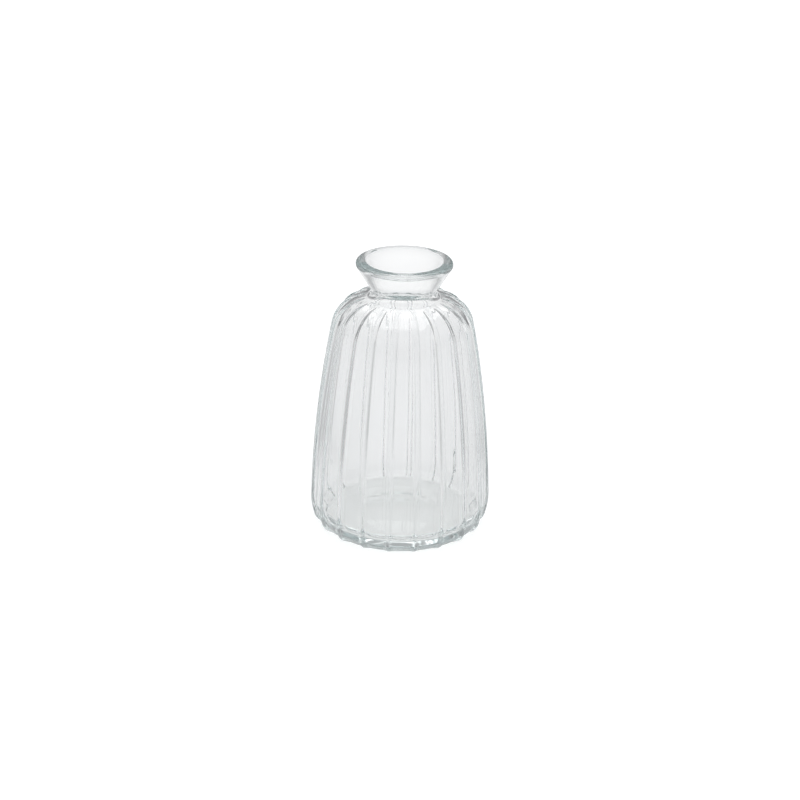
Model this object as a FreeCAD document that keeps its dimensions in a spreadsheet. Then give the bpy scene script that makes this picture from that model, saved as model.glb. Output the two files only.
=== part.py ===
# Ribbed clear glass bottle vase, in millimetres, +Z up, standing on z = 0 with its axis on Z.
#
# The vase is one piece of moulded glass: a foot ring round a shallow hollow, a rounded heel, a
# body that leans in to a round shoulder, a short waisted neck and a funnel mouth with a thick,
# flat lip. Twenty upright ribs run over heel, body and shoulder, and die into foot and neck.

import FreeCAD
import Part
import Sketcher

import math
import os
from types import SimpleNamespace

# Driving dimensions in millimetres: alias, number and meaning.
SIZES = [
    ("total_height", 116.0, "foot to the top of the lip"),
    ("body_radius", 37.1, "largest radius of the panels between the ribs"),
    ("widest_height", 14.0, "height of that largest radius"),
    ("heel_radius", 5.15, "rounding where the panels leave the foot"),
    ("heel_spread", 1.15, "how much further out than that rounding the panels reach"),
    ("foot_ring_width", 11.0, "width of the ring that the vase stands on"),
    ("punt_rise", 1.0, "height of the hollow under the base, at the axis"),
    ("side_radius", 490.0, "slow upright curve of the side"),
    ("shoulder_radius", 16.35, "rounding of the shoulder"),
    ("shoulder_inset", 24.4, "how far inside the body's radius that rounding's centre lies"),
    ("mouth_height", 15.0, "crown of the shoulder to the top of the lip"),
    ("neck_radius", 13.3, "outer radius of the neck at its waist"),
    ("neck_round", 2.2, "hollow rounding at that waist"),
    ("lip_radius", 19.8, "outer radius of the lip"),
    ("lip_round", 1.45, "rounding of the lip's outer edge"),
    ("lip_width", 4.5, "width of the lip, with both roundings"),
    ("mouth_round", 0.8, "rounding of the lip's inner edge"),
    ("neck_wall", 3.0, "thickness of the neck at its waist"),
    ("throat_round", 5.0, "rounding of the throat"),
    ("wall", 2.8, "thickness of the wall between the ribs"),
    ("floor_height", 5.0, "height of the inner floor"),
    ("inner_heel_radius", 6.5, "rounding between the inner floor and the wall"),
    ("rib_count", 20, "number of ribs"),
    ("rib_height", 0.9, "how far a rib stands out from the panels"),
    ("rib_width", 2.6, "width of a rib at its sides"),
    ("rib_crown_spread", 0.3, "how much the crown's radius exceeds half that width"),
    ("rib_depth", 2.0, "how deep a rib's root sits in the wall"),
    ("rib_lift", 0.15, "gap between the ribs and the plane that the vase stands on"),
    ("rib_tail", 1.5, "length of a rib's ends inside the foot and the neck"),
    ("cut_overrun", 5.0, "how far the cutting shape reaches past the lip"),
]

# Sizes that follow from those: outer radius of the foot ring, distance of the shoulder's centre
# from the axis, inner radius of the lip and narrowest radius inside the neck.
FOOT_RADIUS = "(Sizes.body_radius - Sizes.heel_radius - Sizes.heel_spread)"
SHOULDER_CENTRE = "(Sizes.body_radius - Sizes.shoulder_inset)"
MOUTH_RADIUS = "(Sizes.lip_radius - Sizes.lip_width)"
THROAT_RADIUS = "(Sizes.neck_radius - Sizes.neck_wall)"

NODE = "glass_vase"

# Sketcher's numbers for the points of an edge, and for the axes of a sketch.
START, END, CENTRE = 1, 2, 3
H_AXIS, V_AXIS = -1, -2


def add_sheet(doc):
    """The spreadsheet of driving dimensions, and all values by name."""
    sheet = doc.addObject("Spreadsheet::Sheet", "Sizes")
    for row, (alias, number, meaning) in enumerate(SIZES, start=1):
        sheet.set(f"A{row}", alias)
        sheet.set(f"B{row}", str(number))
        sheet.set(f"C{row}", meaning)
        sheet.setAlias(f"B{row}", alias)
    doc.recompute()
    s = SimpleNamespace(**{alias: sheet.get(alias) for alias, number, meaning in SIZES})
    s.foot_radius = s.body_radius - s.heel_radius - s.heel_spread
    s.shoulder_centre = s.body_radius - s.shoulder_inset
    s.mouth_radius = s.lip_radius - s.lip_width
    s.throat_radius = s.neck_radius - s.neck_wall
    return s


def origin_feature(body, role):
    """The body's own origin plane or axis of that role."""
    return next(feature for feature in body.Origin.OriginFeatures if feature.Role == role)


def bearing(start, end):
    """The direction from one point to another, in degrees."""
    return math.degrees(math.atan2(end[1] - start[1], end[0] - start[0]))


def polar(centre, radius, degrees):
    """The point at that radius and direction from a centre."""
    turn = math.radians(degrees)
    return centre[0] + radius * math.cos(turn), centre[1] + radius * math.sin(turn)


def meet(first, first_radius, second, second_radius):
    """The point at both distances from two points, on the left of the way from first to second."""
    apart = math.dist(first, second)
    along = (first_radius**2 - second_radius**2 + apart**2) / (2 * apart)
    aside = math.degrees(math.acos(along / first_radius))
    return polar(first, first_radius, bearing(first, second) + aside)


class Section:
    """A sketch of lines and arcs on an origin plane, with its sizes bound to the spreadsheet."""

    def __init__(self, body, name, plane):
        self.sketch = body.newObject("Sketcher::SketchObject", name)
        self.sketch.AttachmentSupport = [(origin_feature(body, plane), "")]
        self.sketch.MapMode = "FlatFace"

    def line(self, start, end):
        edge = Part.LineSegment(FreeCAD.Vector(*start, 0), FreeCAD.Vector(*end, 0))
        return self.sketch.addGeometry(edge, False)

    def arc(self, centre, radius, start_degrees, end_degrees):
        """An arc that runs counter-clockwise."""
        circle = Part.Circle(FreeCAD.Vector(*centre, 0), FreeCAD.Vector(0, 0, 1), radius)
        edge = Part.ArcOfCircle(circle, math.radians(start_degrees), math.radians(end_degrees))
        return self.sketch.addGeometry(edge, False)

    def rule(self, kind, *references):
        """A constraint without a size."""
        self.sketch.addConstraint(Sketcher.Constraint(kind, *references))

    def size(self, name, expression, kind, *references):
        """A constraint with a size: the last reference is its first value."""
        index = self.sketch.addConstraint(Sketcher.Constraint(kind, *references))
        self.sketch.renameConstraint(index, name)
        self.sketch.setExpression(f"Constraints.{name}", expression)


def side_layout(s):
    """Centres and directions of the four arcs of the panels, and the upper heel's radius."""
    low = (s.foot_radius, s.rib_lift + s.rib_height + s.heel_radius)
    # The upper arc of the heel leaves the lower one smoothly and stands upright where widest.
    out = s.body_radius - low[0] - s.heel_radius
    rise = s.widest_height - low[1]
    high_radius = s.heel_radius + (out**2 + rise**2) / (2 * out)
    high = (s.body_radius - high_radius, s.widest_height)
    shoulder = (s.shoulder_centre, s.total_height - s.mouth_height - s.shoulder_radius)
    side = meet(high, s.side_radius - high_radius, shoulder, s.side_radius - s.shoulder_radius)
    return SimpleNamespace(
        low=low,
        high=high,
        high_radius=high_radius,
        side=side,
        shoulder=shoulder,
        heel_turn=bearing(high, low),
        side_start=bearing(side, high),
        side_end=bearing(side, shoulder),
    )


def draw_side(section, s, at, shoulder_end):
    """The four arcs from the foot over heel and side to the shoulder, each touching the next."""
    low = section.arc(at.low, s.heel_radius, -90, at.heel_turn)
    high = section.arc(at.high, at.high_radius, at.heel_turn, at.side_start)
    side = section.arc(at.side, s.side_radius, at.side_start, at.side_end)
    shoulder = section.arc(at.shoulder, s.shoulder_radius, at.side_end, shoulder_end)
    section.rule("Tangent", low, END, high, START)
    section.rule("Tangent", high, END, side, START)
    section.rule("Tangent", side, END, shoulder, START)
    section.size("heel_at", FOOT_RADIUS, "DistanceX", low, CENTRE, at.low[0])
    section.size(
        "heel_up", "Sizes.rib_lift + Sizes.rib_height + Sizes.heel_radius",
        "DistanceY", low, CENTRE, at.low[1],
    )
    section.size("heel", "Sizes.heel_radius", "Radius", low, s.heel_radius)
    section.size("widest", "Sizes.widest_height", "DistanceY", high, CENTRE, at.high[1])
    section.size("side", "Sizes.side_radius", "Radius", side, s.side_radius)
    section.size("shoulder", "Sizes.shoulder_radius", "Radius", shoulder, s.shoulder_radius)
    section.size("shoulder_at", SHOULDER_CENTRE, "DistanceX", shoulder, CENTRE, at.shoulder[0])
    section.size(
        "shoulder_up", "Sizes.total_height - Sizes.mouth_height - Sizes.shoulder_radius",
        "DistanceY", shoulder, CENTRE, at.shoulder[1],
    )
    # The widest point lies on the upper heel arc, level with its centre.
    spot = polar(at.high, at.high_radius, 0)
    widest = section.sketch.addGeometry(Part.Point(FreeCAD.Vector(*spot, 0)), True)
    section.rule("PointOnObject", widest, START, high)
    section.rule("Horizontal", widest, START, high, CENTRE)
    section.size("body", "Sizes.body_radius", "DistanceX", widest, START, spot[0])
    return low, shoulder


def draw_outside(body, s):
    """Half of the solid vase, without its ribs and its hollow."""
    section = Section(body, "OutsideSection", "XZ_Plane")
    at = side_layout(s)
    neck_at = s.neck_radius + s.neck_round
    neck_reach = s.shoulder_radius + s.neck_round
    neck = (neck_at, at.shoulder[1] + math.sqrt(neck_reach**2 - (neck_at - at.shoulder[0]) ** 2))
    shoulder_end = bearing(at.shoulder, neck)
    low, shoulder = draw_side(section, s, at, shoulder_end)

    # Waist, funnel and lip. The funnel touches the waist on one side and the lip on the other.
    lip_centre = (s.lip_radius - s.lip_round, s.total_height - s.lip_round)
    crossing = math.asin((s.neck_round + s.lip_round) / math.dist(neck, lip_centre))
    flare = bearing(neck, lip_centre) - math.degrees(crossing)
    waist = section.arc(neck, s.neck_round, flare + 90, shoulder_end + 180)
    funnel = section.line(
        polar(neck, s.neck_round, flare + 90), polar(lip_centre, s.lip_round, flare - 90)
    )
    lip = section.arc(lip_centre, s.lip_round, flare - 90, 90)
    top = section.line((lip_centre[0], s.total_height), (0, s.total_height))
    axis = section.line((0, s.total_height), (0, s.punt_rise))

    # Hollow under the base, foot ring and the step up to the panels.
    ring_inside = s.foot_radius - s.foot_ring_width
    punt_radius = (ring_inside**2 + s.punt_rise**2) / (2 * s.punt_rise)
    punt_centre = (0, s.punt_rise - punt_radius)
    punt = section.arc(punt_centre, punt_radius, bearing(punt_centre, (ring_inside, 0)), 90)
    foot = section.line((ring_inside, 0), (s.foot_radius, 0))
    step = section.line((s.foot_radius, 0), (s.foot_radius, s.rib_lift + s.rib_height))

    section.rule("Tangent", shoulder, END, waist, END)
    section.rule("Tangent", waist, START, funnel, START)
    section.rule("Tangent", funnel, END, lip, START)
    section.rule("Tangent", lip, END, top, START)
    section.rule("Coincident", top, END, axis, START)
    section.rule("Coincident", axis, END, punt, END)
    section.rule("Coincident", punt, START, foot, START)
    section.rule("Coincident", foot, END, step, START)
    section.rule("Coincident", step, END, low, START)
    section.rule("Horizontal", top)
    section.rule("Vertical", axis)
    section.rule("PointOnObject", axis, END, V_AXIS)
    section.rule("PointOnObject", punt, CENTRE, V_AXIS)
    section.rule("Horizontal", foot)
    section.rule("PointOnObject", foot, START, H_AXIS)
    section.rule("Vertical", step)
    section.size("neck_at", "Sizes.neck_radius + Sizes.neck_round", "DistanceX", waist, CENTRE, neck_at)
    section.size("neck", "Sizes.neck_round", "Radius", waist, s.neck_round)
    section.size("lip", "Sizes.lip_round", "Radius", lip, s.lip_round)
    section.size("lip_at", "Sizes.lip_radius - Sizes.lip_round", "DistanceX", lip, CENTRE, lip_centre[0])
    section.size("total", "Sizes.total_height", "DistanceY", top, START, s.total_height)
    section.size("punt", "Sizes.punt_rise", "DistanceY", axis, END, s.punt_rise)
    section.size("ring", "Sizes.foot_ring_width", "DistanceX", foot, START, foot, END, s.foot_ring_width)
    section.size("foot", FOOT_RADIUS, "DistanceX", foot, END, s.foot_radius)
    return section.sketch


def draw_rib_path(body, s):
    """The line that a rib follows on the panels, from inside the foot to inside the neck."""
    section = Section(body, "RibPath", "XZ_Plane")
    at = side_layout(s)
    low, shoulder = draw_side(section, s, at, 90)
    bottom = polar(at.low, s.heel_radius, -90)
    top = polar(at.shoulder, s.shoulder_radius, 90)
    foot_end = section.line((bottom[0] - s.rib_tail, bottom[1]), bottom)
    neck_end = section.line(top, (top[0] - s.rib_tail, top[1]))

    section.rule("Tangent", foot_end, END, low, START)
    section.rule("Tangent", shoulder, END, neck_end, START)
    section.rule("Horizontal", foot_end)
    section.rule("Horizontal", neck_end)
    section.size("foot_end", "Sizes.rib_tail", "DistanceX", foot_end, START, foot_end, END, s.rib_tail)
    section.size("neck_end", "Sizes.rib_tail", "DistanceX", neck_end, END, neck_end, START, s.rib_tail)
    return section.sketch


def draw_rib_section(body, s):
    """A rib's section at the start of its line: a round crown downwards and a root upwards."""
    section = Section(body, "RibSection", "YZ_Plane")
    start = FreeCAD.Vector(0, 0, s.foot_radius - s.rib_tail)
    section.sketch.AttachmentOffset = FreeCAD.Placement(start, FreeCAD.Rotation())
    section.sketch.setExpression("AttachmentOffset.Base.z", f"{FOOT_RADIUS} - Sizes.rib_tail")
    half = s.rib_width / 2
    crown_radius = half + s.rib_crown_spread
    centre = (0, s.rib_lift + crown_radius)
    edge = math.degrees(math.acos(half / crown_radius))
    sides_from = polar(centre, crown_radius, -edge)[1]
    root_up = s.rib_lift + s.rib_height + s.rib_depth
    crown = section.arc(centre, crown_radius, edge - 180, -edge)
    right = section.line((half, sides_from), (half, root_up))
    root = section.line((half, root_up), (-half, root_up))
    left = section.line((-half, root_up), (-half, sides_from))

    section.rule("Coincident", crown, END, right, START)
    section.rule("Coincident", right, END, root, START)
    section.rule("Coincident", root, END, left, START)
    section.rule("Coincident", left, END, crown, START)
    section.rule("Vertical", right)
    section.rule("Horizontal", root)
    section.rule("Vertical", left)
    section.rule("Horizontal", crown, START, crown, END)
    section.rule("PointOnObject", crown, CENTRE, V_AXIS)
    section.size(
        "crown", "Sizes.rib_width / 2 + Sizes.rib_crown_spread", "Radius", crown, crown_radius
    )
    section.size(
        "crown_up", "Sizes.rib_lift + Sizes.rib_width / 2 + Sizes.rib_crown_spread",
        "DistanceY", crown, CENTRE, centre[1],
    )
    section.size("width", "Sizes.rib_width", "DistanceX", root, END, root, START, s.rib_width)
    section.size(
        "root_up", "Sizes.rib_lift + Sizes.rib_height + Sizes.rib_depth",
        "DistanceY", root, START, root_up,
    )
    return section.sketch


def draw_hollow(body, s):
    """Half of the hollow: belly, shoulder, throat and funnel, open above the lip."""
    section = Section(body, "HollowSection", "XZ_Plane")
    shoulder_centre = (s.shoulder_centre, s.total_height - s.mouth_height - s.shoulder_radius)
    shoulder_radius = s.shoulder_radius - s.wall
    side_radius = s.side_radius - s.wall
    heel_at = s.body_radius - s.wall - s.inner_heel_radius
    heel_centre = (heel_at, s.floor_height + s.inner_heel_radius)
    side_centre = meet(
        heel_centre, side_radius - s.inner_heel_radius, shoulder_centre, side_radius - shoulder_radius
    )
    side_start = bearing(side_centre, heel_centre)
    side_end = bearing(side_centre, shoulder_centre)
    floor = section.line((0, s.floor_height), (heel_at, s.floor_height))
    heel = section.arc(heel_centre, s.inner_heel_radius, -90, side_start)
    side = section.arc(side_centre, side_radius, side_start, side_end)

    # The funnel touches the throat and the lip's inner rounding on the same side.
    throat_at = s.throat_radius + s.throat_round
    reach = shoulder_radius + s.throat_round
    throat_up = shoulder_centre[1] + math.sqrt(reach**2 - (throat_at - shoulder_centre[0]) ** 2)
    throat_centre = (throat_at, throat_up)
    throat_end = bearing(shoulder_centre, throat_centre)
    lip_centre = (s.mouth_radius + s.mouth_round, s.total_height - s.mouth_round)
    spread = math.asin((s.throat_round - s.mouth_round) / math.dist(throat_centre, lip_centre))
    flare = bearing(throat_centre, lip_centre) - math.degrees(spread)
    shoulder = section.arc(shoulder_centre, shoulder_radius, side_end, throat_end)
    throat = section.arc(throat_centre, s.throat_round, flare + 90, throat_end + 180)
    funnel = section.line(
        polar(throat_centre, s.throat_round, flare + 90), polar(lip_centre, s.mouth_round, flare + 90)
    )
    lip = section.arc(lip_centre, s.mouth_round, 90, flare + 90)
    above = s.total_height + s.cut_overrun
    rise = section.line((lip_centre[0], s.total_height), (lip_centre[0], above))
    lid = section.line((lip_centre[0], above), (0, above))
    axis = section.line((0, above), (0, s.floor_height))

    section.rule("Tangent", floor, END, heel, START)
    section.rule("Tangent", heel, END, side, START)
    section.rule("Tangent", side, END, shoulder, START)
    section.rule("Tangent", shoulder, END, throat, END)
    section.rule("Tangent", throat, START, funnel, START)
    section.rule("Tangent", funnel, END, lip, END)
    section.rule("Coincident", lip, START, rise, START)
    section.rule("Coincident", rise, END, lid, START)
    section.rule("Coincident", lid, END, axis, START)
    section.rule("Coincident", axis, END, floor, START)
    section.rule("Vertical", lip, START, lip, CENTRE)
    section.rule("Horizontal", floor)
    section.rule("Vertical", rise)
    section.rule("Horizontal", lid)
    section.rule("Vertical", axis)
    section.rule("PointOnObject", axis, END, V_AXIS)
    section.size("floor", "Sizes.floor_height", "DistanceY", axis, END, s.floor_height)
    section.size("heel", "Sizes.inner_heel_radius", "Radius", heel, s.inner_heel_radius)
    section.size(
        "heel_at", "Sizes.body_radius - Sizes.wall - Sizes.inner_heel_radius",
        "DistanceX", heel, CENTRE, heel_at,
    )
    section.size("side", "Sizes.side_radius - Sizes.wall", "Radius", side, side_radius)
    section.size("shoulder", "Sizes.shoulder_radius - Sizes.wall", "Radius", shoulder, shoulder_radius)
    section.size("shoulder_at", SHOULDER_CENTRE, "DistanceX", shoulder, CENTRE, shoulder_centre[0])
    section.size(
        "shoulder_up", "Sizes.total_height - Sizes.mouth_height - Sizes.shoulder_radius",
        "DistanceY", shoulder, CENTRE, shoulder_centre[1],
    )
    section.size("throat", "Sizes.throat_round", "Radius", throat, s.throat_round)
    section.size(
        "throat_at", f"{THROAT_RADIUS} + Sizes.throat_round", "DistanceX", throat, CENTRE, throat_at
    )
    section.size("lip", "Sizes.mouth_round", "Radius", lip, s.mouth_round)
    section.size(
        "lip_at", f"{MOUTH_RADIUS} + Sizes.mouth_round", "DistanceX", lip, CENTRE, lip_centre[0]
    )
    section.size(
        "lip_up", "Sizes.total_height - Sizes.mouth_round", "DistanceY", lip, CENTRE, lip_centre[1]
    )
    section.size("above", "Sizes.total_height + Sizes.cut_overrun", "DistanceY", lid, END, above)
    return section.sketch


def turn_full(body, kind, name, sketch):
    """A full turn of a sketch about the vase's axis, added as glass or cut away."""
    feature = body.newObject(kind, name)
    feature.Profile = sketch
    feature.ReferenceAxis = (sketch, ["V_Axis"])
    feature.Angle = 360
    return feature


def make_vase(doc, s):
    """The body of the vase: solid outside, then the ribs, then the hollow."""
    body = doc.addObject("PartDesign::Body", "Vase")
    body.Label = NODE
    outside = turn_full(body, "PartDesign::Revolution", "Outside", draw_outside(body, s))

    path = draw_rib_path(body, s)
    section = draw_rib_section(body, s)
    doc.recompute()
    rib = body.newObject("PartDesign::AdditivePipe", "Rib")
    rib.Profile = section
    rib.Spine = (path, [f"Edge{number}" for number, edge in enumerate(path.Shape.Edges, start=1)])
    ribs = body.newObject("PartDesign::PolarPattern", "Ribs")
    ribs.Originals = [rib]
    ribs.Axis = (path, ["V_Axis"])
    ribs.Angle = 360
    ribs.setExpression("Occurrences", "Sizes.rib_count")
    body.Tip = ribs

    hollow = turn_full(body, "PartDesign::Groove", "Hollow", draw_hollow(body, s))
    doc.recompute()
    return body, outside, ribs, hollow


def check(doc, stages):
    """Stops if an object failed, or if the ribs added or the hollow took away nothing."""
    for item in doc.Objects:
        if "Invalid" in item.State or "Error" in item.State:
            raise RuntimeError(f"{item.Name} failed: {item.State}")
    body, outside, ribs, hollow = stages
    if body.Shape.isNull() or not body.Shape.isValid() or len(body.Shape.Solids) != 1:
        raise RuntimeError("the vase isn't one valid solid")
    if not outside.Shape.Volume < ribs.Shape.Volume:
        raise RuntimeError("the ribs add nothing")
    if not hollow.Shape.Volume < ribs.Shape.Volume:
        raise RuntimeError("the hollow cuts nothing")


def main():
    doc = FreeCAD.newDocument("RibbedVase")
    sizes = add_sheet(doc)
    stages = make_vase(doc, sizes)
    check(doc, stages)
    os.makedirs("parts", exist_ok=True)
    vase = stages[0]
    vase.Shape.exportStep(f"parts/{vase.Label}.step")
    box = vase.Shape.optimalBoundingBox()
    print(f"{vase.Label}: {box.XLength:.2f} x {box.YLength:.2f} x {box.ZLength:.2f} mm,")
    print(f"volume {vase.Shape.Volume / 1000:.1f} cm3, from z {box.ZMin:.3f} to {box.ZMax:.3f}")


main()
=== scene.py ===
# The looks of a ribbed clear glass bottle vase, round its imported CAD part. Metres, +Z up.

import math

import bmesh
import bpy
from mathutils import Matrix, Vector, noise

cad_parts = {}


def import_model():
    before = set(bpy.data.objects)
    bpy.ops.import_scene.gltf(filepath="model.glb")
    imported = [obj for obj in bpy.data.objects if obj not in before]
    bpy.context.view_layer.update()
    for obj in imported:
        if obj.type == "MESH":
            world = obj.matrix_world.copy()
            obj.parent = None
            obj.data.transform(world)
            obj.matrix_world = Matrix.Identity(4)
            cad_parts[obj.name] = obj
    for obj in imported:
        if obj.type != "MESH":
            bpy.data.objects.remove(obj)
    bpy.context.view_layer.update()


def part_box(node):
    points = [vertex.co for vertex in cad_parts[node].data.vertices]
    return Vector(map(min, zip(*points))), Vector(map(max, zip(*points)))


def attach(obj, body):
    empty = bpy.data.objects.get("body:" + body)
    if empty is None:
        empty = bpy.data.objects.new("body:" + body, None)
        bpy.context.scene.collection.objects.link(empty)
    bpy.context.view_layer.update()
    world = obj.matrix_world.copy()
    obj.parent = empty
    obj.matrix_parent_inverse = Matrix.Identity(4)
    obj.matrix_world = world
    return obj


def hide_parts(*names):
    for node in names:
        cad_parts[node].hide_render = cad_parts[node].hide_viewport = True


MM = 0.001
NODE = "glass_vase"

# Outline of the glass, as in the CAD part. Its width and height come from the frame.
FOOT_RADIUS = 30.8 * MM
FOOT_RING_WIDTH = 11.0 * MM
FOOT_EDGE = 0.6 * MM
PUNT_RISE = 1.0 * MM
HEEL_RADIUS = 5.15 * MM
WIDEST_HEIGHT = 14.0 * MM
SIDE_RADIUS = 490.0 * MM
SHOULDER_RADIUS = 16.35 * MM
SHOULDER_CENTRE = 12.7 * MM
MOUTH_HEIGHT = 15.0 * MM
NECK_RADIUS = 13.3 * MM
NECK_ROUND = 2.2 * MM
LIP_RADIUS = 19.8 * MM
LIP_ROUND = 1.45 * MM
MOUTH_RADIUS = 15.3 * MM
MOUTH_ROUND = 0.8 * MM
THROAT_RADIUS = 10.3 * MM
THROAT_ROUND = 5.0 * MM
WALL = 2.8 * MM
FLOOR_HEIGHT = 5.0 * MM
INNER_HEEL_RADIUS = 6.5 * MM

# Ribs: a round crown, sides that fall by the slope, a soft foot, and their lift off the table.
RIB_COUNT = 20
RIB_HEIGHT = 0.9 * MM
RIB_HALF_WIDTH = 1.1 * MM
RIB_CROWN_RADIUS = 1.3 * MM
RIB_SIDE_SLOPE = 3.5
RIB_FOOT_BLEND = 0.2 * MM
RIB_LIFT = 0.15 * MM

# The ring at the heel that the ribs grow out of: its reach up the panels and its inner corners.
RING_REACH = 1.6 * MM
RING_CORNER = 2.6 * MM

# Towards the neck: where the ribs start to grow lower, to what share, and where they die out.
SHOULDER_REACH = 22.0 * MM
SHOULDER_RIB_SHARE = 0.8
RIB_FADE = 12.0 * MM

# How far the middle of a panel lies inside the round.
PANEL_FLATNESS = 0.03 * MM

# Unevenness that the mould leaves on the inside: depth, width and height of its long soft waves,
# how far from the throat and from the floor's middle they fade in, and where the noise is read.
WAVE_DEPTH = 0.04 * MM
WAVE_WIDTH = 8.0 * MM
WAVE_LENGTH = 34.0 * MM
WAVE_FADE = 15.0 * MM
WAVE_SEED = 9.1

# Mesh: steps of the section's stretches and of the full turn, how much closer the turn's steps
# lie on the ribs than on the panels, the gap that is merged, and what counts as the axis.
SECTION_STEPS = {
    "punt": 6,
    "foot ring": 2,
    "heel": 14,
    "widest": 7,
    "side": 12,
    "shoulder": 24,
    "neck": 8,
    "flare": 4,
    "lip": 9,
    "rim": 2,
    "mouth edge": 6,
    "funnel": 4,
    "throat": 10,
    "inner shoulder": 12,
    "inner side": 10,
    "inner heel": 10,
    "inner floor": 4,
}
TURN_STEPS = 640
RIB_CROWDING_SHARE = 0.6
MERGE_GAP = 0.001 * MM
AXIS_REACH = 1.0 * MM

# Glass: its tint where it is thick, and the colour of the light that it lets through to the floor.
WHITE = (1, 1, 1, 1)
GLASS_IOR = 1.5
TINT = (0.36, 0.5, 0.5, 1)
TINT_DENSITY = 5.0
SHADOW_TINT = (0.96, 0.965, 0.96, 1)

# How often light may turn inside the rim and ribs, and how many clear faces it may pass.
LIGHT_TURNS = 52
CLEAR_PASSES = 24

# Floor: half its width and its gap below the foot, its tones by distance from the vase, duller near
# it as painted shade of the vase, and the glow that makes it white to the camera, with the share of
# it that is left seen through glass.
FLOOR_REACH = 4.0
FLOOR_GAP = 0.05 * MM
FLOOR_TONES_WITH_PAINTED_SHADE = ((0.22, (0.75, 0.755, 0.76, 1)), (0.5, (0.9, 0.9, 0.9, 1)))
FLOOR_GLOW = 0.34
GLOW_THROUGH_GLASS_SHARE = 0.25

# Painted shade on the floor to the left and right of the vase: it is greyer there, for all rays but
# the camera's, and shows through the ribs as dark lines. It sets in between two shares of sideways
# in the way out from the vase, keeps a share of its brightness, and fades in between two distances.
SIDE_FROM_SHARE = 0.5
SIDE_TO_SHARE = 0.85
PAINTED_SIDE_SHADE_KEPT_SHARE = 0.6
SIDE_NEAR = 50 * MM
SIDE_FAR = 230 * MM

# Surroundings: their tones by how steeply upwards a ray goes, from level at 0 to upright at 1.
SKY_TONES = ((0.1, (0.27, 0.274, 0.28, 1)), (0.6, (0.55, 0.555, 0.56, 1)))

# Ceiling light: its size, its place and its power in watts.
LIGHT_WIDTH = 1.5
LIGHT_DEPTH = 1.9
LIGHT_PLACE = (-0.1, 0.42, 1.2)
LIGHT_POWER = 13

# Camera, from the photograph: the picture is 800 pixels square. Angles are in degrees.
FRAME_PIXELS = 800
FOCAL_PIXELS = 1804
SENSOR = 36 * MM
AIM_HEIGHT = 60 * MM
AIM_PIXEL = (401.75, 387.8)
CAMERA_DISTANCE = 750 * MM
CAMERA_AZIMUTH = 6.6
CAMERA_ELEVATION = 23.1
CAMERA_ROLL = 1.27
CLIP_START = 10 * MM


def bearing(start, end):
    """The direction from one point of the section to another, in degrees."""
    return math.degrees(math.atan2(end[1] - start[1], end[0] - start[0]))


def polar(centre, radius, degrees):
    """The point at that radius and direction from a centre."""
    turn = math.radians(degrees)
    return centre[0] + radius * math.cos(turn), centre[1] + radius * math.sin(turn)


def meet(first, first_radius, second, second_radius):
    """The point at both distances from two points, on the left of the way from first to second."""
    apart = math.dist(first, second)
    along = (first_radius**2 - second_radius**2 + apart**2) / (2 * apart)
    aside = math.degrees(math.acos(along / first_radius))
    return polar(first, first_radius, bearing(first, second) + aside)


def bow_radius(reach, rise):
    """The radius of a bow that climbs by the rise over the reach, from where it is level."""
    return (reach**2 + rise**2) / (2 * rise)


def tangent(first, second, radii):
    """The direction of the line that touches two circles, from their radii's sum or difference."""
    return bearing(first, second) - math.degrees(math.asin(radii / math.dist(first, second)))


def above(centre, across, reach):
    """The point above a centre that lies across from the axis and the reach away from the centre."""
    return across, centre[1] + math.sqrt(reach**2 - (across - centre[0]) ** 2)


def clamp(share):
    """A share, kept between 0 and 1."""
    return min(max(share, 0), 1)


def smooth_min(first, second, blend):
    """The smaller of two lengths, with a round blend where they are alike."""
    share = max(blend - abs(first - second), 0) / blend
    return min(first, second) - share * share * blend / 4


class Pen:
    """Draws the half section in the XZ plane as a chain of vertices."""

    def __init__(self, bm, start):
        self.bm = bm
        self.point = start
        self.last = bm.verts.new((start[0], 0, start[1]))
        self.first = self.last

    def line(self, end, steps=1):
        """A straight stretch."""
        step = Vector((end[0] - self.point[0], 0, end[1] - self.point[1])) / steps
        for _ in range(steps):
            made = bmesh.ops.extrude_vert_indiv(self.bm, verts=[self.last])
            self.last = made["verts"][0]
            bmesh.ops.translate(self.bm, vec=step, verts=[self.last])
        self.point = end

    def arc(self, centre, end_degrees, steps):
        """A round stretch about a centre, up to that direction from it, the short way."""
        radius = math.dist(centre, self.point)
        turn = (end_degrees - bearing(centre, self.point) + 180) % 360 - 180
        made = bmesh.ops.spin(
            self.bm,
            geom=[self.last],
            cent=(centre[0], 0, centre[1]),
            axis=(0, -1, 0),
            angle=math.radians(turn),
            steps=steps,
        )
        self.last = next(item for item in made["geom_last"] if isinstance(item, bmesh.types.BMVert))
        self.point = polar(centre, radius, end_degrees)

    def chain(self):
        """The vertices in drawing order."""
        order = [self.first]
        before = None
        vert = self.first
        while vert is not self.last:
            edge = next(e for e in vert.link_edges if e.other_vert(vert) is not before)
            before, vert = vert, edge.other_vert(vert)
            order.append(vert)
        return order


def draw_base(pen):
    """The shallow hollow under the base, and the flat ring that the vase stands on."""
    ring_inside = FOOT_RADIUS - FOOT_RING_WIDTH
    punt = (0, PUNT_RISE - bow_radius(ring_inside, PUNT_RISE))
    pen.arc(punt, bearing(punt, (ring_inside, 0)), SECTION_STEPS["punt"])
    pen.line((FOOT_RADIUS - FOOT_EDGE, 0), SECTION_STEPS["foot ring"])


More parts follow.
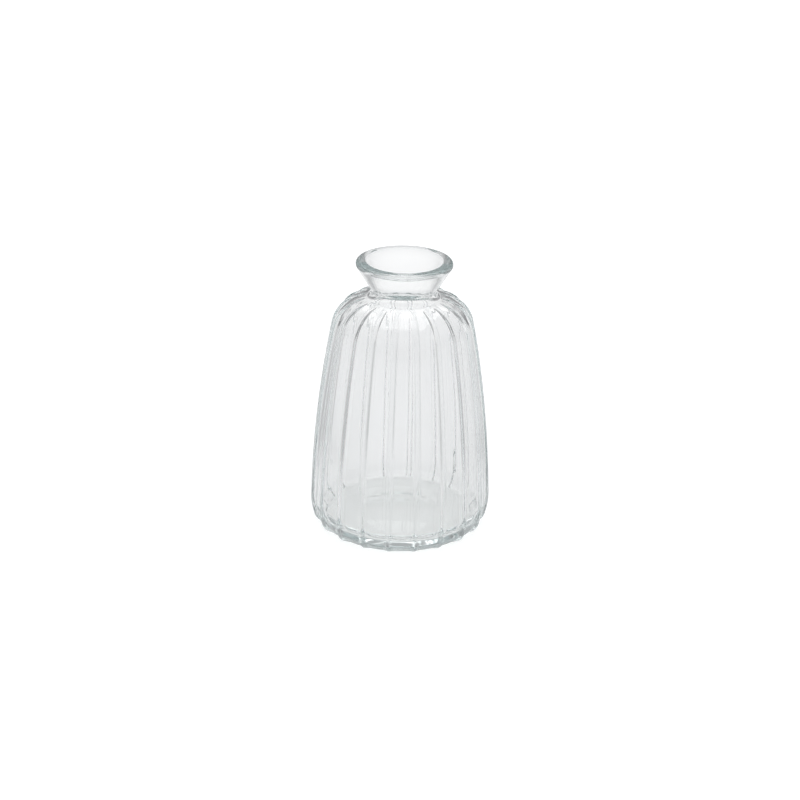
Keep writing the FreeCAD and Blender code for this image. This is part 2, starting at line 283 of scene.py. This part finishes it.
def draw_outside(pen, body_radius, shoulder, height):
    """From the foot's edge up to the top of the lip. Returns where the panels start and end."""
    low = (FOOT_RADIUS, RIB_LIFT + RIB_HEIGHT + HEEL_RADIUS)
    out = body_radius - low[0] - HEEL_RADIUS
    high_radius = HEEL_RADIUS + bow_radius(WIDEST_HEIGHT - low[1], out)
    high = (body_radius - high_radius, WIDEST_HEIGHT)
    side = meet(high, SIDE_RADIUS - high_radius, shoulder, SIDE_RADIUS - SHOULDER_RADIUS)
    neck = above(shoulder, NECK_RADIUS + NECK_ROUND, SHOULDER_RADIUS + NECK_ROUND)
    lip = (LIP_RADIUS - LIP_ROUND, height - LIP_ROUND)
    flare = tangent(neck, lip, NECK_ROUND + LIP_ROUND)
    pen.line(polar(low, HEEL_RADIUS, -90))
    panel_start = pen.last
    pen.arc(low, bearing(high, low), SECTION_STEPS["heel"])
    pen.arc(high, bearing(side, high), SECTION_STEPS["widest"])
    pen.arc(side, bearing(side, shoulder), SECTION_STEPS["side"])
    pen.arc(shoulder, bearing(shoulder, neck), SECTION_STEPS["shoulder"])
    panel_end = pen.last
    pen.arc(neck, flare + 90, SECTION_STEPS["neck"])
    pen.line(polar(lip, LIP_ROUND, flare - 90), SECTION_STEPS["flare"])
    pen.arc(lip, 90, SECTION_STEPS["lip"])
    return panel_start, panel_end


def draw_inside(pen, body_radius, shoulder, height):
    """From the rim down to the middle of the floor. Returns where the throat ends."""
    inner_shoulder = SHOULDER_RADIUS - WALL
    inner_side = SIDE_RADIUS - WALL
    heel = (body_radius - WALL - INNER_HEEL_RADIUS, FLOOR_HEIGHT + INNER_HEEL_RADIUS)
    side = meet(heel, inner_side - INNER_HEEL_RADIUS, shoulder, inner_side - inner_shoulder)
    throat = above(shoulder, THROAT_RADIUS + THROAT_ROUND, inner_shoulder + THROAT_ROUND)
    mouth = (MOUTH_RADIUS + MOUTH_ROUND, height - MOUTH_ROUND)
    funnel = tangent(throat, mouth, THROAT_ROUND - MOUTH_ROUND)
    pen.line((mouth[0], height), SECTION_STEPS["rim"])
    pen.arc(mouth, funnel + 90, SECTION_STEPS["mouth edge"])
    pen.line(polar(throat, THROAT_ROUND, funnel + 90), SECTION_STEPS["funnel"])
    pen.arc(throat, bearing(throat, shoulder), SECTION_STEPS["throat"])
    throat_end = pen.last
    pen.arc(shoulder, bearing(side, shoulder), SECTION_STEPS["inner shoulder"])
    pen.arc(side, bearing(side, heel), SECTION_STEPS["inner side"])
    pen.arc(heel, -90, SECTION_STEPS["inner heel"])
    pen.line((0, FLOOR_HEIGHT), SECTION_STEPS["inner floor"])
    return throat_end


def draw_section(bm, body_radius, height):
    """Half of the glass. Returns its vertices in order and where its panels and inside begin."""
    shoulder = (SHOULDER_CENTRE, height - MOUTH_HEIGHT - SHOULDER_RADIUS)
    pen = Pen(bm, (0, PUNT_RISE))
    draw_base(pen)
    panel_start, panel_end = draw_outside(pen, body_radius, shoulder, height)
    throat_end = draw_inside(pen, body_radius, shoulder, height)
    return pen.chain(), panel_start, panel_end, throat_end


def mark_section(bm, chain, panel_start, panel_end, throat_end):
    """Writes on each vertex its outward normal and its way along the panels or the inside."""
    normal_layer = bm.verts.layers.float_vector["section_normal"]
    way_layer = bm.verts.layers.float["panel_way"]
    inner_layer = bm.verts.layers.float["inner_way"]
    for index, vert in enumerate(chain):
        before = chain[max(index - 1, 0)].co
        after = chain[min(index + 1, len(chain) - 1)].co
        # The heel starts level, so its first normal points straight down.
        if vert is panel_start:
            before = vert.co - Vector((1, 0, 0))
            after = vert.co
        along = (after - before).normalized()
        vert[normal_layer] = (along.z, 0, -along.x)
        vert[way_layer] = -1
        vert[inner_layer] = -1
    panel_start[way_layer] = 0
    way = 0
    for index in range(chain.index(panel_start) + 1, chain.index(panel_end) + 1):
        way += (chain[index].co - chain[index - 1].co).length
        chain[index][way_layer] = way
    inner = 0
    for index in range(chain.index(throat_end), len(chain)):
        inner += (chain[index].co - chain[index - 1].co).length
        chain[index][inner_layer] = inner
    return way, inner


def rib_rise(aside, way, panel_length):
    """How far the glass stands out from the panels, at a distance aside of a rib's middle line."""
    edge = smooth_min(aside - RIB_HALF_WIDTH, way - RING_REACH, RING_CORNER)
    across = max(edge + RIB_HALF_WIDTH, 0)
    on_crown = min(across, RIB_HALF_WIDTH)
    crown = math.sqrt(RIB_CROWN_RADIUS**2 - on_crown**2) - (RIB_CROWN_RADIUS - RIB_HEIGHT)
    crown -= RIB_SIDE_SLOPE * (across - on_crown)
    # Ribs grow lower over the shoulder and end softly at the neck.
    left = panel_length - way
    share = clamp(left / RIB_FADE)
    fade = share * share * (3 - 2 * share)
    lowered = 1 - clamp(left / SHOULDER_REACH)
    fade *= 1 - (1 - SHOULDER_RIB_SHARE) * lowered
    return max(-smooth_min(-crown, 0, RIB_FOOT_BLEND), 0) * fade


def panel_drop(rise, share, way, panel_length):
    """How far a panel lies inside the round: most in its middle, nothing on ribs and at its ends."""
    bow = 1 - rise / RIB_HEIGHT
    fade = min(way / RING_REACH, (panel_length - way) / RING_REACH, 1)
    return PANEL_FLATNESS * max(fade, 0) * bow * (1 - (2 * share) ** 2)


def inner_wave(place, inner, inner_length):
    """The soft unevenness of the inside at a place, drawn out upright, fading in from both ends."""
    spot = Vector((place.x / WAVE_WIDTH, place.y / WAVE_WIDTH, place.z / WAVE_LENGTH))
    fade = min(inner / WAVE_FADE, (inner_length - inner) / WAVE_FADE, 1)
    return WAVE_DEPTH * noise.noise(spot + Vector((0, WAVE_SEED, 0))) * fade


def shape_wall(bm, panel_length, inner_length):
    """Crowds the steps of the turn onto the ribs, raises ribs and ring, and waves the inside."""
    normal_layer = bm.verts.layers.float_vector["section_normal"]
    way_layer = bm.verts.layers.float["panel_way"]
    inner_layer = bm.verts.layers.float["inner_way"]
    pitch = 2 * math.pi / RIB_COUNT
    for vert in bm.verts:
        radius = math.hypot(vert.co.x, vert.co.y)
        if radius < AXIS_REACH:
            continue
        turns = math.atan2(vert.co.y, vert.co.x) / pitch
        rib = round(turns)
        share = turns - rib
        share -= RIB_CROWDING_SHARE * math.sin(2 * math.pi * share) / (2 * math.pi)
        angle = (rib + share) * pitch
        way = vert[way_layer]
        inner = vert[inner_layer]
        rise = 0
        if way >= 0:
            rise = rib_rise(abs(share) * pitch * radius, way, panel_length)
            rise -= panel_drop(rise, share, way, panel_length)
        elif inner >= 0:
            rise = inner_wave(vert.co, inner, inner_length)
        move = rise * Vector(vert[normal_layer])
        radius += move.x
        vert.co = (radius * math.cos(angle), radius * math.sin(angle), vert.co.z + move.z)


def make_vase(body_radius, height):
    """The whole vase as one closed shell of glass."""
    bm = bmesh.new()
    bm.verts.layers.float_vector.new("section_normal")
    bm.verts.layers.float.new("panel_way")
    bm.verts.layers.float.new("inner_way")
    chain, *marks = draw_section(bm, body_radius, height)
    panel_length, inner_length = mark_section(bm, chain, *marks)
    bmesh.ops.spin(
        bm,
        geom=bm.verts[:] + bm.edges[:],
        cent=(0, 0, 0),
        axis=(0, 0, 1),
        angle=2 * math.pi,
        steps=TURN_STEPS,
        use_merge=True,
    )
    bmesh.ops.remove_doubles(bm, verts=bm.verts[:], dist=MERGE_GAP)
    shape_wall(bm, panel_length, inner_length)
    bmesh.ops.recalc_face_normals(bm, faces=bm.faces[:])
    for face in bm.faces:
        face.smooth = True
    mesh = bpy.data.meshes.new("ribbed_vase")
    bm.to_mesh(mesh)
    bm.free()
    piece = bpy.data.objects.new("ribbed_vase", mesh)
    bpy.context.scene.collection.objects.link(piece)
    return piece


def add_node(tree, kind, inputs, **settings):
    """A shader node. Its inputs, by name or number, are linked to a socket or set to a value."""
    node = tree.nodes.new(kind)
    for name, setting in settings.items():
        setattr(node, name, setting)
    for key, value in inputs.items():
        if isinstance(value, bpy.types.NodeSocket):
            tree.links.new(value, node.inputs[key])
        else:
            node.inputs[key].default_value = value
    return node


def worked_out(tree, operation, *values):
    """The result of a Math node, from sockets or numbers."""
    node = add_node(tree, "ShaderNodeMath", dict(enumerate(values)), operation=operation)
    return node.outputs["Value"]


def eased(tree, value, start, end, first, last):
    """A level that eases from first to last as the value goes from start to end."""
    levels = {"Value": value, "From Min": start, "From Max": end, "To Min": first, "To Max": last}
    node = add_node(tree, "ShaderNodeMapRange", levels, interpolation_type="SMOOTHSTEP")
    return node.outputs["Result"]


def toned(tree, value, tones):
    """A colour that eases between two tones, each a value and a colour."""
    node = add_node(tree, "ShaderNodeValToRGB", {"Fac": value})
    node.color_ramp.interpolation = "EASE"
    for element, (position, colour) in zip(node.color_ramp.elements, tones):
        element.position = position
        element.color = colour
    return node.outputs["Color"]


def glass_material():
    """Clear moulded glass with a faint green tint where it is thick."""
    material = bpy.data.materials.new("clear_glass")
    material.use_nodes = True
    tree = material.node_tree
    shader = tree.nodes["Principled BSDF"]
    shader.inputs["Base Color"].default_value = WHITE
    shader.inputs["Roughness"].default_value = 0.0
    shader.inputs["IOR"].default_value = GLASS_IOR
    shader.inputs["Transmission Weight"].default_value = 1.0
    tint = add_node(tree, "ShaderNodeVolumeAbsorption", {"Color": TINT, "Density": TINT_DENSITY})
    # Clear glass hardly darkens the floor: most of the light goes through to it.
    clear = add_node(tree, "ShaderNodeBsdfTransparent", {"Color": SHADOW_TINT})
    path = add_node(tree, "ShaderNodeLightPath", {})
    surfaces = {0: path.outputs["Is Shadow Ray"], 1: shader.outputs["BSDF"], 2: clear.outputs["BSDF"]}
    mix = add_node(tree, "ShaderNodeMixShader", surfaces)
    output = tree.nodes["Material Output"]
    tree.links.new(mix.outputs["Shader"], output.inputs["Surface"])
    tree.links.new(tint.outputs["Volume"], output.inputs["Volume"])
    return material


def floor_colour(tree, to_camera):
    """Painted shade on the floor: a little duller round the vase than far off, and greyer to its left
    and right.
    """
    place = add_node(tree, "ShaderNodeTexCoord", {}).outputs["Object"]
    measured = add_node(tree, "ShaderNodeVectorMath", {0: place}, operation="LENGTH")
    distance = measured.outputs["Value"]
    # Painted shade: the floor's tone is duller near the vase, in place of its shadow there.
    plain = toned(tree, distance, FLOOR_TONES_WITH_PAINTED_SHADE)
    # Painted shade at the sides: the ribs show the greyer floor there as dark lines.
    outwards = add_node(tree, "ShaderNodeVectorMath", {0: place}, operation="NORMALIZE")
    apart = add_node(tree, "ShaderNodeSeparateXYZ", {"Vector": outwards.outputs["Vector"]})
    sideways = worked_out(tree, "ABSOLUTE", apart.outputs["X"])
    painted_side_shade = eased(tree, sideways, SIDE_FROM_SHARE, SIDE_TO_SHARE, 1.0, PAINTED_SIDE_SHADE_KEPT_SHARE)
    near = eased(tree, distance, SIDE_NEAR, SIDE_FAR, 1.0, 0.0)
    kept_plain = worked_out(tree, "MAXIMUM", near, to_camera)
    side_shade_brightness = worked_out(tree, "MAXIMUM", painted_side_shade, kept_plain)
    scaled = {0: plain, "Scale": side_shade_brightness}
    return add_node(tree, "ShaderNodeVectorMath", scaled, operation="SCALE").outputs["Vector"]


def floor_material():
    """Pale floor: lit like the rest, with painted shade round the vase and to its sides, and lifted
    to white for the camera where no shadow falls.
    """
    material = bpy.data.materials.new("pale_floor")
    material.use_nodes = True
    tree = material.node_tree
    shader = tree.nodes["Principled BSDF"]
    shader.inputs["Roughness"].default_value = 1.0
    shader.inputs["Specular IOR Level"].default_value = 0.0
    shader.inputs["Emission Color"].default_value = WHITE
    path = add_node(tree, "ShaderNodeLightPath", {}).outputs
    to_camera = path["Is Camera Ray"]
    through_glass = path["Is Transmission Ray"]
    seen = worked_out(tree, "MULTIPLY_ADD", through_glass, GLOW_THROUGH_GLASS_SHARE, to_camera)
    glow = worked_out(tree, "MULTIPLY", seen, FLOOR_GLOW)
    tree.links.new(floor_colour(tree, to_camera), shader.inputs["Base Color"])
    tree.links.new(glow, shader.inputs["Emission Strength"])
    return material


def make_floor():
    """A wide pale floor that the vase stands on."""
    bm = bmesh.new()
    bmesh.ops.create_grid(bm, x_segments=1, y_segments=1, size=FLOOR_REACH)
    bmesh.ops.translate(bm, vec=(0, 0, -FLOOR_GAP), verts=bm.verts[:])
    mesh = bpy.data.meshes.new("floor")
    bm.to_mesh(mesh)
    bm.free()
    floor = bpy.data.objects.new("floor", mesh)
    floor.data.materials.append(floor_material())
    bpy.context.scene.collection.objects.link(floor)


def make_world():
    """Pale surroundings, duller towards the horizon, and white to the camera."""
    world = bpy.data.worlds.new("studio")
    bpy.context.scene.world = world
    world.use_nodes = True
    tree = world.node_tree
    place = add_node(tree, "ShaderNodeTexCoord", {})
    apart = add_node(tree, "ShaderNodeSeparateXYZ", {"Vector": place.outputs["Generated"]})
    plain = tree.nodes["Background"]
    tree.links.new(toned(tree, apart.outputs["Z"], SKY_TONES), plain.inputs["Color"])
    white = add_node(tree, "ShaderNodeBackground", {"Color": WHITE})
    path = add_node(tree, "ShaderNodeLightPath", {})
    skies = {
        0: path.outputs["Is Camera Ray"],
        1: plain.outputs["Background"],
        2: white.outputs["Background"],
    }
    mix = add_node(tree, "ShaderNodeMixShader", skies)
    tree.links.new(mix.outputs["Shader"], tree.nodes["World Output"].inputs["Surface"])


def add_ceiling_light():
    """A wide soft light flat above the vase, that shows as a pale band on its shoulder."""
    data = bpy.data.lights.new("ceiling_light", "AREA")
    data.shape = "RECTANGLE"
    data.size = LIGHT_WIDTH
    data.size_y = LIGHT_DEPTH
    data.energy = LIGHT_POWER
    light = bpy.data.objects.new("ceiling_light", data)
    light.location = LIGHT_PLACE
    bpy.context.scene.collection.objects.link(light)


def make_camera():
    """The photograph's camera: its place, its lens and its slight roll."""
    azimuth = math.radians(CAMERA_AZIMUTH)
    elevation = math.radians(CAMERA_ELEVATION)
    roll = math.radians(CAMERA_ROLL)
    back = Vector(
        (
            math.sin(azimuth) * math.cos(elevation),
            -math.cos(azimuth) * math.cos(elevation),
            math.sin(elevation),
        )
    )
    right = Vector((math.cos(azimuth), math.sin(azimuth), 0))
    up = back.cross(right)
    # The vase's aim point isn't in the middle of the picture, so the camera turns aside by that much.
    aside = (FRAME_PIXELS / 2 - AIM_PIXEL[0]) / FOCAL_PIXELS
    upwards = (AIM_PIXEL[1] - FRAME_PIXELS / 2) / FOCAL_PIXELS
    rolled_right = right * math.cos(roll) + up * math.sin(roll)
    rolled_up = up * math.cos(roll) - right * math.sin(roll)
    view = (-back + rolled_right * aside + rolled_up * upwards).normalized()
    side = view.cross(rolled_up).normalized()
    top = side.cross(view)
    data = bpy.data.cameras.new("camera")
    data.sensor_width = SENSOR / MM
    data.lens = FOCAL_PIXELS / FRAME_PIXELS * SENSOR / MM
    data.clip_start = CLIP_START
    camera = bpy.data.objects.new("camera", data)
    place = Matrix.Translation(back * CAMERA_DISTANCE + Vector((0, 0, AIM_HEIGHT)))
    turn = Matrix((side, top, -view)).transposed()
    camera.matrix_world = place @ turn.to_4x4()
    bpy.context.scene.collection.objects.link(camera)
    bpy.context.scene.camera = camera


def main():
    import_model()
    low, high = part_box(NODE)
    body_radius = (high.x - low.x) / 2 - RIB_HEIGHT
    vase = make_vase(body_radius, high.z)
    vase.data.materials.append(glass_material())
    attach(vase, "root")
    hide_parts(NODE)
    make_floor()
    make_world()
    add_ceiling_light()
    make_camera()
    scene = bpy.context.scene
    scene.view_settings.view_transform = "Standard"
    scene.cycles.use_denoising = True
    scene.cycles.max_bounces = LIGHT_TURNS
    scene.cycles.transmission_bounces = LIGHT_TURNS
    scene.cycles.glossy_bounces = LIGHT_TURNS
    scene.cycles.transparent_max_bounces = CLEAR_PASSES


main()
